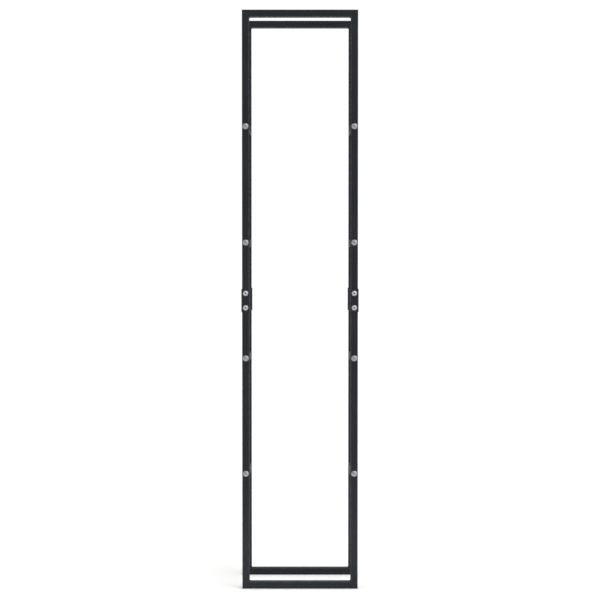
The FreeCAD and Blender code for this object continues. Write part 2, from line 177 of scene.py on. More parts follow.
class StageSettings(bpy.types.PropertyGroup):
    """Floor, light and camera."""

    floor: colour("Floor", "Seamless paper floor", "#fafaf9")
    backdrop: amount("Backdrop", "Brightness of the white backdrop", 1.05, 4.0)
    ambient: amount("Ambient", "Even light from all round", 0.46, 4.0)
    key: amount("Key light", "Broad soft light from the right, above the camera", 1.5, 20.0)
    fill: amount("Fill light", "Broad soft light from the left", 0.6, 20.0)
    top: amount("Top light", "Broad soft light from straight above", 1.1, 20.0)
    low: amount("Low light", "Soft light by the floor, in watts", 0.45, 99.0)
    camera_back: length("Camera distance", "Camera in front of the rack's middle", 5062.5)
    camera_height: length("Camera height", "Camera above the floor", 1125.0)
    camera_dip: turn("Camera dip", "How far the camera looks down", 1.427)
    focal: amount("Focal length", "Lens in millimetres on a 36 mm sensor", 85.87, 300.0)


class RackSettings(bpy.types.PropertyGroup):
    """All settings of the log rack."""

    tubes: PointerProperty(type=TubeSettings)
    fasteners: PointerProperty(type=FastenerSettings)
    finish: PointerProperty(type=FinishSettings)
    stage: PointerProperty(type=StageSettings)


# Shells: (points, quads, triangles, {attribute name: one number per point})


def ring_quads(loops):
    """Quads between each loop of point numbers and the next, closed round the loops."""
    nearer, further = loops[:-1], loops[1:]
    corners = [nearer, np.roll(nearer, -1, 1), np.roll(further, -1, 1), further]
    return np.stack(corners, axis=-1).reshape(-1, 4)


def fan(loop, pole):
    """Triangles from a loop of point numbers to one pole."""
    return np.stack([loop, np.roll(loop, -1), np.full(len(loop), pole)], axis=-1)


def capped_shell(rows, attributes):
    """Skin rings of points, (rings, points round, 3), and close each end with a pole.

    A pole is the mean of its ring.
    """
    rings, around, _ = rows.shape
    index = np.arange(rings * around).reshape(rings, around)
    poles = rings * around + np.arange(2)
    points = np.vstack([rows.reshape(-1, 3), rows[0].mean(axis=0), rows[-1].mean(axis=0)])
    triangles = np.vstack([fan(index[0][::-1], poles[0]), fan(index[-1], poles[1])])
    values = {
        name: np.concatenate([value.reshape(-1), [value[0].mean(), value[-1].mean()]])
        for name, value in attributes.items()
    }
    return outward((points, ring_quads(index), triangles, values))


def looped_shell(rows, attributes):
    """Skin rings of points, (rings, points round, 3), and join the last ring to the first."""
    rings, around, _ = rows.shape
    index = np.arange(rings * around).reshape(rings, around)
    quads = ring_quads(np.vstack([index, index[:1]]))
    values = {name: value.reshape(-1) for name, value in attributes.items()}
    return outward((rows.reshape(-1, 3), quads, np.empty((0, 3), int), values))


def outward(shell):
    """Turn a closed shell's faces over if the volume that they enclose comes out negative."""
    points, quads, triangles, values = shell
    corners = np.vstack([quads[:, [0, 1, 2]], quads[:, [0, 2, 3]], triangles])
    a, b, c = (points[corners[:, k]] for k in range(3))
    if (np.cross(a, b) * c).sum() < 0:
        quads, triangles = quads[:, ::-1], triangles[:, ::-1]
    return points, quads, triangles, values


def moved(shell, matrix):
    """A shell carried to its place by a 4 by 4 matrix, which may mirror it."""
    points, quads, triangles, values = shell
    full = np.array(matrix)
    return outward((points @ full[:3, :3].T + full[:3, 3], quads, triangles, values))


def joined(shells):
    """Several shells as one, each still closed in itself."""
    starts = np.cumsum([0] + [len(shell[0]) for shell in shells[:-1]])
    points = np.vstack([shell[0] for shell in shells])
    quads = np.vstack([shell[1] + start for shell, start in zip(shells, starts)])
    triangles = np.vstack([shell[2] + start for shell, start in zip(shells, starts)])
    values = {
        name: np.concatenate([shell[3][name] for shell in shells]) for name in shells[0][3]
    }
    return points, quads, triangles, values


def make_mesh(name, shell, material):
    """An object whose mesh is the shell, smooth but for its crisp edges."""
    points, quads, triangles, values = shell
    mesh = bpy.data.meshes.new(name)
    mesh.from_pydata(points.tolist(), [], quads.tolist() + triangles.tolist())
    for attribute, numbers in values.items():
        layer = mesh.attributes.new(attribute, "FLOAT", "POINT")
        layer.data.foreach_set("value", numbers.astype(np.float32))
    mesh.shade_smooth()
    mesh.set_sharp_from_angle(angle=math.radians(CRISP_ANGLE))
    mesh.materials.append(material)
    made = bpy.data.objects.new(name, mesh)
    bpy.context.scene.collection.objects.link(made)
    return made


def make_piece(name, shell, material, node):
    """A piece that stands for a CAD node and rides on the rack's one body."""
    piece = make_mesh(name, shell, material)
    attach(piece, "root")
    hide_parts(node)


# Square tubes

CORNER_STEPS = 7
# Each flat carries a square grid of points, this far to either side of a hole's middle.
HOLE_GRID = np.array([6.0, 3.0, 0.0, -3.0, -6.0]) * MM
# How much a square cut end is rubbed and painted lighter as a highlight.
CUT_RUB_AND_HIGHLIGHT = 0.9
QUARTER_POINTS = CORNER_STEPS + len(HOLE_GRID) + 2


def square_ring(half, corner, inset, rub_and_highlight_width):
    """A square section with round corners, and the rub and painted highlight of each of its
    points.

    Each quarter is an arc of radius (corner - inset) about the corner's centre, then the points
    of the flat, of which the first and last are rub_and_highlight_width in from the arcs. The rub
    and painted edge highlight are full in the middle of an arc and gone on the flat.
    """
    angles = np.linspace(0.0, math.pi / 2, CORNER_STEPS)
    arc = (half - corner) + (corner - inset) * np.stack([np.cos(angles), np.sin(angles)], 1)
    edge = half - corner - rub_and_highlight_width
    across = np.concatenate([[edge], HOLE_GRID, [-edge]])
    flat = np.stack([across, np.full(len(across), half - inset)], axis=1)
    quarter = np.vstack([arc, flat])
    quarter_turns = [np.array([[c, -s], [s, c]]) for c, s in ((1, 0), (0, 1), (-1, 0), (0, -1))]
    rub_and_highlight = np.concatenate([0.5 + 0.5 * np.sin(2 * angles), np.zeros(len(across))])
    return np.vstack([quarter @ each.T for each in quarter_turns]), np.tile(rub_and_highlight, 4)


def tube_shell(box, axes, wall, corner, sizes, mitres, holes):
    """A square tube that fills a CAD box.

    axes are the numbers of the world axes along the tube, across it in a mitre's plane, and
    the third. The section is carried along the outside, round the cut end, back on the inside
    and round the other cut end. A mitred end stands back from the tip by half the tube's size
    plus or minus the place across it: mitres holds 0 for a square end, or else the sign of the
    inner side. Every hole is (place along, flat, half its size, square); flat 0 faces along the
    third axis and flat 2 against it.
    """
    low, high = (np.array(corner_point) for corner_point in box)
    along, across, third = axes
    half = (high[across] - low[across]) / 2
    centre = (low + high) / 2
    places = sorted({hole[0] for hole in holes})
    hole_rows = [("at", place - step) for place in places for step in HOLE_GRID]
    breaks = [0.0 if mitre else sizes.edge_break for mitre in mitres]
    backs = [each + sizes.rub_and_highlight_width for each in breaks]
    cut_rub_and_highlight = [0.0 if mitre else CUT_RUB_AND_HIGHLIGHT for mitre in mitres]
    outside = [
        ("low", 0.0, breaks[0], cut_rub_and_highlight[0]),
        ("low", breaks[0], 0.0, cut_rub_and_highlight[0]),
        ("low", backs[0], 0.0, 0.0),
        *[(kind, place, 0.0, 0.0) for kind, place in hole_rows],
        ("high", backs[1], 0.0, 0.0),
        ("high", breaks[1], 0.0, cut_rub_and_highlight[1]),
        ("high", 0.0, breaks[1], cut_rub_and_highlight[1]),
    ]
    inside = [
        ("high", 0.0, wall, cut_rub_and_highlight[1] / 2),
        ("high", backs[1], wall, 0.0),
        *[(kind, place, wall, 0.0) for kind, place in reversed(hole_rows)],
        ("low", backs[0], wall, 0.0),
        ("low", 0.0, wall, cut_rub_and_highlight[0] / 2),
    ]
    rows, rubs_and_highlights = [], []
    for kind, place, inset, end_rub_and_highlight in outside + inside:
        section, corner_rub_and_highlight = square_ring(half, corner, inset, sizes.rub_and_highlight_width)
        mitre = {"low": mitres[0], "high": mitres[1], "at": 0}[kind]
        back = place + (half + mitre * section[:, 0] if mitre else 0.0)
        row = np.empty((len(section), 3))
        row[:, across] = centre[across] + section[:, 0]
        row[:, third] = centre[third] + section[:, 1]
        row[:, along] = {"low": low[along] + back, "high": high[along] - back, "at": back}[kind]
        rows.append(row)
        rubs_and_highlights.append(np.maximum(corner_rub_and_highlight, end_rub_and_highlight))
    return bored_shell(np.array(rows), np.array(rubs_and_highlights), places, holes)


def bored_shell(rows, rubs_and_highlights, places, holes):
    """Skin a tube's rings and bore its holes.

    A hole takes a 4 by 4 patch of quads out of the outer and the inner wall. Each point of the
    patch's rim is pulled straight towards the patch's middle until it lies on the hole's edge,
    and quads join the outer rim, the outer edge, the inner edge and the inner rim.
    """
    rings, around, _ = rows.shape
    index = np.arange(rings * around).reshape(rings, around)
    keep = np.ones((rings, around), bool)
    steps = len(HOLE_GRID) - 1
    rim_down = np.concatenate([[0] * steps, range(steps), [steps] * steps, range(steps, 0, -1)])
    rim_along = np.roll(rim_down, -steps)
    walls = rows.reshape(-1, 3)
    points, quads = [walls], []
    for place, flat, half_size, is_square in holes:
        outer = 3 + places.index(place) * len(HOLE_GRID)
        inner = rings - outer
        column = flat * QUARTER_POINTS + CORNER_STEPS + 1
        keep[outer : outer + steps, column : column + steps] = False
        keep[inner - steps : inner, column : column + steps] = False
        outer_rim = index[outer + rim_down, column + rim_along]
        inner_rim = index[inner - rim_down, column + rim_along]
        edges = []
        for rim in (outer_rim, inner_rim):
            middle = (walls[rim].min(axis=0) + walls[rim].max(axis=0)) / 2
            reach = walls[rim] - middle
            size = np.abs(reach).max(axis=1) if is_square else np.linalg.norm(reach, axis=1)
            edges.append(sum(map(len, points)) + np.arange(len(rim)))
            points.append(middle + reach * (half_size / size)[:, None])
        quads.append(ring_quads(np.stack([outer_rim, *edges, inner_rim])))
    quads.append(ring_quads(np.vstack([index, index[:1]]))[keep.reshape(-1)])
    points = np.vstack(points)
    rub_and_highlight = np.zeros(len(points))
    rub_and_highlight[: rings * around] = rubs_and_highlights.reshape(-1)
    return outward((points, np.vstack(quads), np.empty((0, 3), int), {"rub_and_highlight": rub_and_highlight}))


# Fasteners: rings about the local Z axis. The shank points along it, the head stands below 0.

AROUND = 72
ANGLES = np.linspace(0.0, 2 * math.pi, AROUND, endpoint=False)
ROWS_PER_PITCH = 8


def polygon_radius(flats, sides, corner_at):
    """Distance from the axis to a regular polygon's side at each angle."""
    sector = 2 * math.pi / sides
    from_middle = np.mod(ANGLES - corner_at, sector) - sector / 2
    return flats / 2 / np.cos(from_middle)


def turned_rows(stations):
    """Rings and attributes from stations (radius, height, grime and painted shade), each one
    number or AROUND.

    The third number darkens the plating: 0 on a wiped face and 1 at the bottom of a socket, higher
    the deeper a face lies; it is painted shade in the recesses together with grime.
    """
    radius, height, grime_and_painted_shade = (
        np.array([np.broadcast_to(station[k], AROUND) for station in stations])
        for k in range(3)
    )
    rows = np.stack([radius * np.cos(ANGLES), radius * np.sin(ANGLES), height], axis=-1)
    return rows, {"grime_and_painted_shade": grime_and_painted_shade, "off_axis": radius}


def cap_arc(top, foot, steps):
    """Stations along an arc from top to foot, each (radius, height), centred on the axis.

    The centre is at the height that is as far from top as from foot.
    """
    centre = (foot[0] ** 2 + foot[1] ** 2 - top[0] ** 2 - top[1] ** 2) / 2 / (foot[1] - top[1])
    reach = math.hypot(top[0], top[1] - centre)
    angles = [math.atan2(radius, centre - height) for radius, height in (top, foot)]
    return [
        (reach * math.sin(angle), centre - reach * math.cos(angle), 0.0)
        for angle in np.linspace(*angles, steps)
    ]


# A thread's groove is a triangle wave of this height and slope, cut off at 0 and 1.
GROOVE_PEAK = 1.4
GROOVE_SLOPE = 3.2


def thread_stations(sizes, end):
    """A right-hand thread over the last thread_run before end, with a chamfered tip.

    The radius is the outer radius less the depth times a flat-topped triangle wave of (height
    over pitch, less the angle as a share of a full turn), so it steps one pitch for each turn.
    """
    start = end - sizes.thread_run
    rows = round(sizes.thread_run / sizes.pitch * ROWS_PER_PITCH)
    outer = sizes.thread / 2
    chamfer = sizes.thread_depth
    stations = []
    for height in np.linspace(start, end, rows):
        phase = np.mod(height / sizes.pitch - ANGLES / (2 * math.pi), 1.0)
        groove = np.clip(GROOVE_PEAK - np.abs(phase - 0.5) * GROOVE_SLOPE, 0.0, 1.0)
        groove = groove * min(1.0, (height - start) / sizes.pitch)
        limit = outer - max(0.0, height - (end - chamfer))
        radius = np.minimum(outer - sizes.thread_depth * groove, limit)
        # Deeper in a groove, more painted shade and grime.
        stations.append((radius, height, 0.15 + 0.6 * groove))
    return stations


def under_edge(radius):
    """Stations round a head's lower edge, to the face that it seats on."""
    # Darker where the head meets its seat: painted shade together with grime.
    return [(radius, -0.25 * MM, 0.15), (radius - 0.2 * MM, 0.0, 0.5)]


def carriage_bolt(sizes, head_radius, head_height, shank):
    """Low domed head on a square neck, a plain shank and a thread at its end."""
    outer = sizes.thread / 2
    neck = polygon_radius(sizes.neck, 4, math.pi / 4)
    dome = cap_arc(
        (0.05 * MM, -head_height), (head_radius - 0.15 * MM, -sizes.dome_edge - 0.05 * MM), 16
    )
    stations = dome + [
        (head_radius, -sizes.dome_edge + 0.15 * MM, 0.0),
        *under_edge(head_radius),
        (neck, 0.0, 0.6),
        (neck, sizes.neck_height - 0.6 * MM, 0.6),
        (np.minimum(neck, outer), sizes.neck_height, 0.4),
    ]
    return capped_shell(*turned_rows(stations + thread_stations(sizes, shank)))


def button_bolt(sizes, flange_radius, head_height, shank):
    """Button head on a flange, with a hex socket, and a shank threaded at its end."""
    hexagon = polygon_radius(sizes.socket, 6, 0.0)
    floor = sizes.socket_depth - head_height
    foot = -sizes.flange_edge - sizes.flange_slope
    button = cap_arc((sizes.button_flat / 2, -head_height), (sizes.button / 2, foot), 10)
    # The third number of each station is painted shade and grime: 1 at the socket's bottom, less
    # towards its mouth.
    stations = [
        (0.3 * MM, floor + 0.6 * MM, 1.0),
        (hexagon - 0.3 * MM, floor + 0.1 * MM, 1.0),
        (hexagon, floor - 0.3 * MM, 1.0),
        (hexagon, 0.35 * MM - head_height, 0.8),
        (hexagon + 0.25 * MM, -head_height, 0.2),
        *button,
        (sizes.button / 2 + 0.3 * MM, foot + 0.12 * MM, 0.6),
        (flange_radius - 0.35 * MM, -sizes.flange_edge, 0.0),
        (flange_radius, 0.3 * MM - sizes.flange_edge, 0.0),
        *under_edge(flange_radius),
        (sizes.thread / 2, 0.0, 0.5),
    ]
    return capped_shell(*turned_rows(stations + thread_stations(sizes, shank)))


def hex_nut(sizes, height):
    """Hex nut, both faces chamfered at 30 degrees and the bore countersunk.

    Every ring is the smaller of the hexagon and the chamfer cone's circle at that height, so
    each corner of the hexagon is cut back in an arc.
    """
    hexagon = polygon_radius(sizes.nut, 6, 0.0)
    face = sizes.nut / 2 - 0.2 * MM
    bore = sizes.nut_bore / 2
    reach = hexagon.max() - face
    slope = math.tan(math.radians(30))
    chamfer = [
        (np.minimum(hexagon, face + reach * part), reach * part * slope, 0.0)
        for part in np.linspace(0.0, 1.0, 9)
    ]
    stations = [
        *chamfer,
        *[(radius, height - rise, grime_and_painted_shade) for radius, rise, grime_and_painted_shade in reversed(chamfer)],
        (bore + 0.5 * MM, height, 0.3),
        (bore, height - 0.5 * MM, 0.9),
        (bore, 0.5 * MM, 0.9),
        (bore + 0.5 * MM, 0.0, 0.3),
    ]
    return looped_shell(*turned_rows(stations))


def plain_washer(sizes, radius, height):
    """Stamped washer, its outer edge rolled over on one face and sharp on the other."""
    bore = sizes.washer_bore / 2
    roll = 0.45 * MM
    rolled = [
        (radius - roll + roll * math.cos(angle), height - roll + roll * math.sin(angle), 0.0)
        for angle in np.linspace(0.0, math.pi / 2, 5)
    ]
    stations = [
        (bore + 0.1 * MM, 0.0, 0.5),
        (radius - 0.1 * MM, 0.0, 0.3),
        (radius, 0.1 * MM, 0.1),
        *rolled,
        (bore + 0.2 * MM, height, 0.35),
        (bore, height - 0.2 * MM, 0.8),
        (bore, 0.1 * MM, 0.8),
    ]
    return looped_shell(*turned_rows(stations))


def fastener_place(where, shank_to, turns):
    """Matrix that points local +Z along world Y, rearwards for 1 or forwards for -1."""
    facing = Matrix.Rotation(math.radians(-90 * shank_to), 4, "X")
    own_turn = Matrix.Rotation(math.radians(TURN_PER_FASTENER * turns), 4, "Z")
    return Matrix.Translation(where) @ facing @ own_turn


def tie_bolt_line(side, level):
    """x and z of the bolt that runs through a side bar."""
    low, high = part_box(f"{side}_side_bar_{level}")
    return (low.x + high.x) / 2, (low.z + high.z) / 2


def sleeve_bolt_lines(row):
    """x and z of the bolts through a frame's sleeves: left low, left high, right low and high."""
    first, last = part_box(f"{row}_sleeve_bolts")
    sleeves = [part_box(f"{row}_{side}_splice_sleeve") for side in SIDES]
    middles = [(low.x + high.x) / 2 for low, high in sleeves]
    radius = middles[0] - first.x
    return [(x, z) for x in middles for z in (first.z + radius, last.z - radius)]


# Weld beads

# How far a bead's crescents bend back, in ripples, and the share of it that each end tapers over.
CRESCENT_BEND = 0.55
END_TAPER = 0.07
# How much the crown, the ripples and the uneven hand lift the face, as shares of the leg.
CROWN, RIPPLE, WANDER = 0.16, 0.07, 0.03
# A bead's root lies this far inside the tubes that it is fused to.
WELD_SINK = 0.25 * MM
# Rows of points for each ripple, and points across a bead.
ROWS_PER_RIPPLE, POINTS_ACROSS = 8, 15


def weld_bead(sizes, bead_length, shift):
    """A fillet bead along local Y in the corner between +X and +Z.

    Across the bead the face runs from toe to toe: the chord of the corner plus a bulge that is
    highest in the middle. Along it each pool froze in a crescent, so a rounded wave of the
    place along the bead, bent back by the square of the place across, lifts the face. Both
    ends taper to the corner, whose line is sunk into the tubes.
    """
    leg, ripple = sizes.weld_leg, sizes.weld_ripple
    count = round(bead_length / ripple) * ROWS_PER_RIPPLE
    place, side = np.meshgrid(
        np.linspace(0, 1, count), np.linspace(-1, 1, POINTS_ACROSS), indexing="ij"
    )
    angle = (side + 1.0) * math.pi / 4
    crown = 1.0 - side**2
    along = place * bead_length
    crescent = along / ripple - CRESCENT_BEND * side**2 + shift
    ripples = np.abs(np.sin(math.pi * crescent)) ** 0.7
    wander = 0.5 * np.sin(2.1 * along / leg + 3.0 * shift) + 0.5 * np.sin(0.9 * along / leg)
    taper = np.clip(np.minimum(place, 1.0 - place) / END_TAPER, 0.05, 1.0) ** 0.5
    chord = leg / (np.cos(angle) + np.sin(angle))
    lift = leg * crown * (CROWN + RIPPLE * ripples + WANDER * wander)
    reach = (chord * (0.94 + WANDER * wander) + lift) * taper
    face = np.stack(
        [reach * np.cos(angle) - WELD_SINK, along - bead_length / 2,
         reach * np.sin(angle) - WELD_SINK], axis=-1,
    )
    root = face[:, :1].copy()
    root[..., [0, 2]] = -WELD_SINK
    # The crests of the ripples are painted lighter: rub together with a painted highlight.
    rub_and_highlight = np.concatenate([0.35 * crown * ripples, np.zeros((count, 1))], axis=1)
    return capped_shell(np.concatenate([face, root], axis=1), {"rub_and_highlight": rub_and_highlight})


# Materials

# Numbers of the colour mix node's sockets.
MIX_FACTOR, MIX_A, MIX_B, MIX_RESULT = 0, 6, 7, 2
# From one turning mark of a fastener to the next: real marks are finer, and would not show.
RING_SPACING = 0.6 * MM


def add_node(tree, kind, inputs=None, **settings):
    """Add a node, set its settings, and give each input a value or a link from an output."""
    made = tree.nodes.new(kind)
    for name, value in settings.items():
        setattr(made, name, value)
    for socket, value in (inputs or {}).items():
        if isinstance(value, bpy.types.NodeSocket):
            tree.links.new(value, made.inputs[socket])
        else:
            made.inputs[socket].default_value = value
    return made


def blank_material(name):
    """A new material with one Principled shader: (material, node tree, shader)."""
    material = bpy.data.materials.new(name)
    material.use_nodes = True
    return material, material.node_tree, material.node_tree.nodes["Principled BSDF"]


def opaque(rgb):
    """A colour with an alpha of 1."""
    return (*rgb, 1.0)


def powder_coat(finish):
    """Matt polyester powder coat, near black.

    Dry powder, sprayed on and baked until it flows together: a fine sandy grain over soft
    orange peel, an even low sheen with no brush marks, thicker and darker in broad patches, and
    greyer and a little smoother on the edges, where the film is thin and gets handled; that grey
    is also a painted edge highlight. The real grain is about 0.2 mm; it is drawn coarser, or it
    would not show at all.
    """
    name = "matt_polyester_powder_coat"
    if name in bpy.data.materials:
        return bpy.data.materials[name]
    material, tree, shader = blank_material(name)
    place = add_node(tree, "ShaderNodeTexCoord").outputs["Object"]
    edge = add_node(tree, "ShaderNodeAttribute", attribute_name="rub_and_highlight").outputs["Fac"]
    grain = add_node(
        tree, "ShaderNodeTexNoise",
        {"Vector": place, "Scale": 1.0 / finish.grain, "Detail": 2.0, "Roughness": 0.6},
    ).outputs["Fac"]
    peel = add_node(
        tree, "ShaderNodeTexNoise",
        {"Vector": place, "Scale": 1.0 / finish.peel, "Detail": 1.0, "Roughness": 0.4},
    ).outputs["Fac"]
    broad = add_node(
        tree, "ShaderNodeTexNoise",
        {"Vector": place, "Scale": 1.0 / finish.build_up, "Detail": 3.0, "Roughness": 0.6},
    ).outputs["Fac"]
    thick = add_node(
        tree, "ShaderNodeMapRange", {"Value": broad, "From Min": 0.38, "From Max": 0.64},
        interpolation_type="SMOOTHSTEP",
    ).outputs["Result"]
    film = add_node(
        tree, "ShaderNodeMix",
        {MIX_FACTOR: thick, MIX_A: opaque(finish.coat), MIX_B: opaque(finish.coat_thick)},
        data_type="RGBA",
    ).outputs[MIX_RESULT]
    handled = add_node(
        tree, "ShaderNodeTexNoise",
        {"Vector": place, "Scale": 1.0 / (3 * finish.peel), "Detail": 4.0, "Roughness": 0.65},
    ).outputs["Fac"]
    where_handled = add_node(
        tree, "ShaderNodeMapRange",
        {"Value": handled, "From Min": 0.36, "From Max": 0.66, "To Min": 0.2, "To Max": 0.75},
    ).outputs["Result"]
    # Painted highlight and rub: edges and weld crests are painted a lighter grey, broken up by the
    # handling noise.
    rubbed_and_highlit = add_node(
        tree, "ShaderNodeMath", {0: edge, 1: where_handled}, operation="MULTIPLY"
    ).outputs["Value"]
    # Grains that stand proud catch dust and read as lighter specks.
    specks = add_node(
        tree, "ShaderNodeMapRange",
        {"Value": grain, "From Min": 0.56, "From Max": 0.74, "To Max": 0.30},
    ).outputs["Result"]
    lighter = add_node(
        tree, "ShaderNodeMath", {0: rubbed_and_highlit, 1: specks}, operation="MAXIMUM"
    ).outputs["Value"]
    coat = add_node(
        tree, "ShaderNodeMix",
        {MIX_FACTOR: lighter, MIX_A: film, MIX_B: opaque(finish.coat_rubbed_and_highlit)},
        data_type="RGBA",
    ).outputs[MIX_RESULT]
    tree.links.new(coat, shader.inputs["Base Color"])
    smoother = add_node(
        tree, "ShaderNodeMapRange",
        {"Value": rubbed_and_highlit, "To Min": finish.coat_roughness, "To Max": finish.coat_roughness - 0.14},
    ).outputs["Result"]
    uneven = add_node(
        tree, "ShaderNodeMapRange", {"Value": peel, "To Min": -0.08, "To Max": 0.08}
    ).outputs["Result"]
    roughness = add_node(
        tree, "ShaderNodeMath", {0: smoother, 1: uneven}, operation="ADD"
    ).outputs["Value"]
    tree.links.new(roughness, shader.inputs["Roughness"])
    waves = add_node(
        tree, "ShaderNodeBump", {"Height": peel, "Distance": finish.grain_height}
    ).outputs["Normal"]
    sandy = add_node(
        tree, "ShaderNodeBump",
        {"Height": grain, "Normal": waves, "Distance": finish.grain_height},
    ).outputs["Normal"]
    tree.links.new(sandy, shader.inputs["Normal"])
    shader.inputs["IOR"].default_value = 1.5
    # Seen nearly edge-on, the grains hide one another and the sheen stops climbing.
    edge_on = add_node(tree, "ShaderNodeLayerWeight", {"Blend": 0.5}).outputs["Facing"]
    sheen = add_node(
        tree, "ShaderNodeMapRange",
        {"Value": edge_on, "From Min": 0.7, "To Min": finish.coat_sheen,
         "To Max": 0.1 * finish.coat_sheen},
    ).outputs["Result"]
    tree.links.new(sheen, shader.inputs["Specular IOR Level"])
    return material


def zinc_plate(name, clean, dulled, finish):
    """Blue-passivated zinc plate on cold-formed and turned steel.

    Bright but satin, a little cool, with soft cloudy mottling from the passivation bath, faint
    rings about the axis from forming and turning, and a dark colour in sockets, bores, threads and
    under heads, darkest where they lie deepest: oil and dust there, together with painted shade.
    """
    material, tree, shader = blank_material(name)
    place = add_node(tree, "ShaderNodeTexCoord").outputs["Object"]
    shade_and_grime_depth = add_node(tree, "ShaderNodeAttribute", attribute_name="grime_and_painted_shade").outputs["Fac"]
    off_axis = add_node(tree, "ShaderNodeAttribute", attribute_name="off_axis").outputs["Fac"]
    clouds = add_node(
        tree, "ShaderNodeTexNoise",
        {"Vector": place, "Scale": 1.0 / finish.mottling, "Detail": 4.0, "Roughness": 0.6},
    ).outputs["Fac"]
    dull = add_node(
        tree, "ShaderNodeMapRange", {"Value": clouds, "From Min": 0.38, "From Max": 0.68}
    ).outputs["Result"]
    plate = add_node(
        tree, "ShaderNodeMix",
        {MIX_FACTOR: dull, MIX_A: opaque(clean), MIX_B: opaque(dulled)},
        data_type="RGBA",
    ).outputs[MIX_RESULT]
    settled = add_node(
        tree, "ShaderNodeTexNoise",
        {"Vector": place, "Scale": 2.0 / finish.mottling, "Detail": 3.0},
    ).outputs["Fac"]
    patchy = add_node(
        tree, "ShaderNodeMapRange",
        {"Value": settled, "From Min": 0.3, "From Max": 0.6, "To Min": 0.55, "To Max": 1.0},
    ).outputs["Result"]
    # Painted shade with grime: sockets, bores, threads and the undersides of heads turn dark, the
    # deepest darkest, in patches.
    painted_shade_and_dirt = add_node(
        tree, "ShaderNodeMath", {0: shade_and_grime_depth, 1: patchy}, operation="MULTIPLY"
    ).outputs["Value"]
    shaded_and_soiled = add_node(
        tree, "ShaderNodeMix",
        {MIX_FACTOR: painted_shade_and_dirt, MIX_A: plate, MIX_B: opaque(finish.grime_and_painted_shade)}, data_type="RGBA",
    ).outputs[MIX_RESULT]
    tree.links.new(shaded_and_soiled, shader.inputs["Base Color"])
    bare = add_node(
        tree, "ShaderNodeMapRange", {"Value": painted_shade_and_dirt, "To Min": 1.0, "To Max": 0.25}
    ).outputs["Result"]
    tree.links.new(bare, shader.inputs["Metallic"])
    satin = add_node(
        tree, "ShaderNodeMapRange",
        {"Value": dull, "To Min": finish.zinc_roughness - 0.03,
         "To Max": finish.zinc_roughness + 0.06},
    ).outputs["Result"]
    roughness = add_node(
        tree, "ShaderNodeMath", {0: painted_shade_and_dirt, 1: 0.35, 2: satin}, operation="MULTIPLY_ADD"
    ).outputs["Value"]
    tree.links.new(roughness, shader.inputs["Roughness"])
    ring_angle = add_node(
        tree, "ShaderNodeMath", {0: off_axis, 1: 2 * math.pi / RING_SPACING},
        operation="MULTIPLY",
    ).outputs["Value"]
    rings = add_node(tree, "ShaderNodeMath", {0: ring_angle}, operation="SINE").outputs["Value"]
    ringed = add_node(
        tree, "ShaderNodeBump", {"Height": rings, "Strength": 0.5, "Distance": 0.004 * MM}
    ).outputs["Normal"]
    uneven = add_node(
        tree, "ShaderNodeBump",
        {"Height": clouds, "Normal": ringed, "Strength": 0.6, "Distance": 0.05 * MM},
    ).outputs["Normal"]
    tree.links.new(uneven, shader.inputs["Normal"])
    return material


def mill_plate(finish):
    """Hot-rolled steel plate as it left the mill.

    Grey metal under a thin blue-grey scale that flakes in blotches and shows fine rolling
    lines along the sheet.
    """
    material, tree, shader = blank_material("hot_rolled_steel_plate")
    place = add_node(tree, "ShaderNodeTexCoord").outputs["Object"]
    blotches = add_node(
        tree, "ShaderNodeTexNoise",
        {"Vector": place, "Scale": 1.0 / (5.0 * MM), "Detail": 5.0, "Roughness": 0.65},
    ).outputs["Fac"]
    scaled = add_node(
        tree, "ShaderNodeMapRange", {"Value": blotches, "From Min": 0.42, "From Max": 0.56}
    ).outputs["Result"]
    skin = add_node(
        tree, "ShaderNodeMix",
        {MIX_FACTOR: scaled, MIX_A: opaque(finish.steel), MIX_B: opaque(finish.steel_scale)},
        data_type="RGBA",
    ).outputs[MIX_RESULT]
    tree.links.new(skin, shader.inputs["Base Color"])
    metal = add_node(
        tree, "ShaderNodeMapRange", {"Value": scaled, "To Min": 1.0, "To Max": 0.4}
    ).outputs["Result"]
    tree.links.new(metal, shader.inputs["Metallic"])
    roughness = add_node(
        tree, "ShaderNodeMapRange", {"Value": scaled, "To Min": 0.4, "To Max": 0.65}
    ).outputs["Result"]
    tree.links.new(roughness, shader.inputs["Roughness"])
    # Rolling lines run along Z, so the pattern is stretched that way.
    stretched = add_node(
        tree, "ShaderNodeMapping", {"Vector": place, "Scale": (1.0, 1.0, 0.08)}
    ).outputs["Vector"]
    lines = add_node(
        tree, "ShaderNodeTexNoise",
        {"Vector": stretched, "Scale": 1.0 / (0.8 * MM), "Detail": 2.0},
    ).outputs["Fac"]
    rolled = add_node(
        tree, "ShaderNodeBump", {"Height": lines, "Distance": 0.03 * MM}
    ).outputs["Normal"]
    tree.links.new(rolled, shader.inputs["Normal"])
    return material


def seamless_paper(finish_colour):
    """Matt seamless background paper: pale, fibrous, with no sheen."""
    material, tree, shader = blank_material("seamless_paper")
    place = add_node(tree, "ShaderNodeTexCoord").outputs["Object"]
    fibres = add_node(
        tree, "ShaderNodeTexNoise",
        {"Vector": place, "Scale": 1.0 / (6.0 * MM), "Detail": 4.0, "Roughness": 0.6},
    ).outputs["Fac"]
    shaded = [part * 0.985 for part in finish_colour]
    paper = add_node(
        tree, "ShaderNodeMix",
        {MIX_FACTOR: fibres, MIX_A: opaque(finish_colour), MIX_B: opaque(shaded)},
        data_type="RGBA",
    ).outputs[MIX_RESULT]
    tree.links.new(paper, shader.inputs["Base Color"])
    shader.inputs["Roughness"].default_value = 0.9
    shader.inputs["Specular IOR Level"].default_value = 0.1
    return material


# Operators

